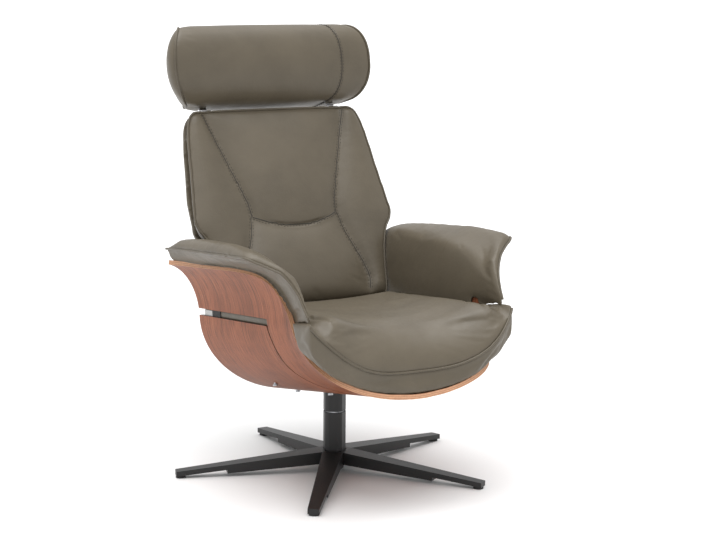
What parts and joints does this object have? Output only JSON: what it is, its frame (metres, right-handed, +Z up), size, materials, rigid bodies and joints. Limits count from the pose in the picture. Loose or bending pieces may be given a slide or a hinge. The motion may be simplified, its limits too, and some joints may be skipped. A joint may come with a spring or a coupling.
{
  "type": "star base swivel recliner",
  "caption": "Swivel recliner on a star base: bent wood shell with upholstered arms, seat, reclining back and adjustable headrest.",
  "frame": {"origin": "on the floor under the middle of the chair's bounding box", "axes": "+X to the sitter's left, which is the right side in a view from the front; -Y is the chair's front; +Z is up"},
  "size_m": [0.7424, 0.8877, 1.0602],
  "materials": {
    "black_metal": "satin black powder coat",
    "black_rubber": "matte",
    "bearing_plastic": "plain",
    "walnut": "satin lacquered walnut veneer",
    "plywood": "plain plywood",
    "taupe_leather": "smooth semi-gloss leather",
    "black_plastic": "moulded",
    "bare_metal": "brushed",
    "chrome": "polished",
    "steel": "zinc plated"
  },
  "bodies": {
    "base": {"leg_1": "black_metal", "leg_2": "black_metal", "leg_3": "black_metal", "leg_4": "black_metal", "leg_5": "black_metal", "column_lower": "black_metal", "hub_plug": "black_metal", "foot_glides": "black_rubber", "bush_lower": "bearing_plastic", "bush_upper": "bearing_plastic", "thrust_washer": "steel"},
    "swivel": {"spindle": "steel", "retaining_ring": "steel", "column_upper": "black_metal", "mounting_channel": "steel", "cross_member_front": "steel", "cross_member_rear": "steel", "rail_left": "steel", "rail_right": "steel", "rail_liners": "bearing_plastic", "rail_buffers": "black_rubber", "guide_plate_left": "steel", "guide_plate_right": "steel", "shell_brackets": "steel", "shell_screws": "steel", "shell_spacers": "black_rubber", "shell_lower": "walnut", "shell_upper": "walnut", "slot_strip_left": "taupe_leather", "slot_strip_right": "taupe_leather", "slot_blocks": "black_plastic", "slot_plates": "bare_metal", "arm_pad_left": "taupe_leather", "arm_pad_right": "taupe_leather"},
    "seat": {"runner_left": "steel", "runner_right": "steel", "seat_bar_left": "steel", "seat_bar_right": "steel", "seat_cross_front": "steel", "seat_cross_rear": "steel", "seat_deck": "plywood", "seat_cushion": "taupe_leather", "back_bracket_left": "steel", "back_bracket_right": "steel"},
    "back": {"pivot_pins": "steel", "friction_discs": "black_plastic", "back_upright_left": "steel", "back_upright_right": "steel", "back_cross_lower": "steel", "back_cross_upper": "steel", "guide_pins": "steel", "back_panel": "plywood", "bar_sleeves": "black_plastic", "rear_cover": "taupe_leather", "back_cushion": "taupe_leather"},
    "headrest_carriage": {"headrest_bar_left": "chrome", "headrest_bar_right": "chrome", "hinge_pins": "chrome"},
    "headrest": {"headrest_brackets": "chrome", "headrest_cushion": "taupe_leather"}
  },
  "joints": [
    {"name": "swivel", "type": "hinge", "parent": "base", "child": "swivel", "pos_m": [0, -0.031, 0], "axis": [0, 0, 1], "continuous": true},
    {"name": "recline", "type": "hinge", "parent": "seat", "child": "back", "pos_m": [0, 0.17391, 0.36977], "axis": [-1, 0, 0], "range_deg": [0, 20]},
    {"name": "seat_glide", "type": "slide", "parent": "swivel", "child": "seat", "axis": [0, -0.989, 0.1478], "range_m": [0, 0.05]},
    {"name": "headrest_height", "type": "slide", "parent": "back", "child": "headrest_carriage", "axis": [0, 0.4478, 0.8942], "range_m": [0, 0.08]},
    {"name": "headrest_tilt", "type": "hinge", "parent": "headrest_carriage", "child": "headrest", "pos_m": [0, 0.34459, 0.84908], "axis": [1, 0, 0], "range_deg": [-18, 25]}
  ],
  "couplings": [
    {"joint": "seat_glide", "follows": "recline", "m_per_rad": 0.14324}
  ]
}
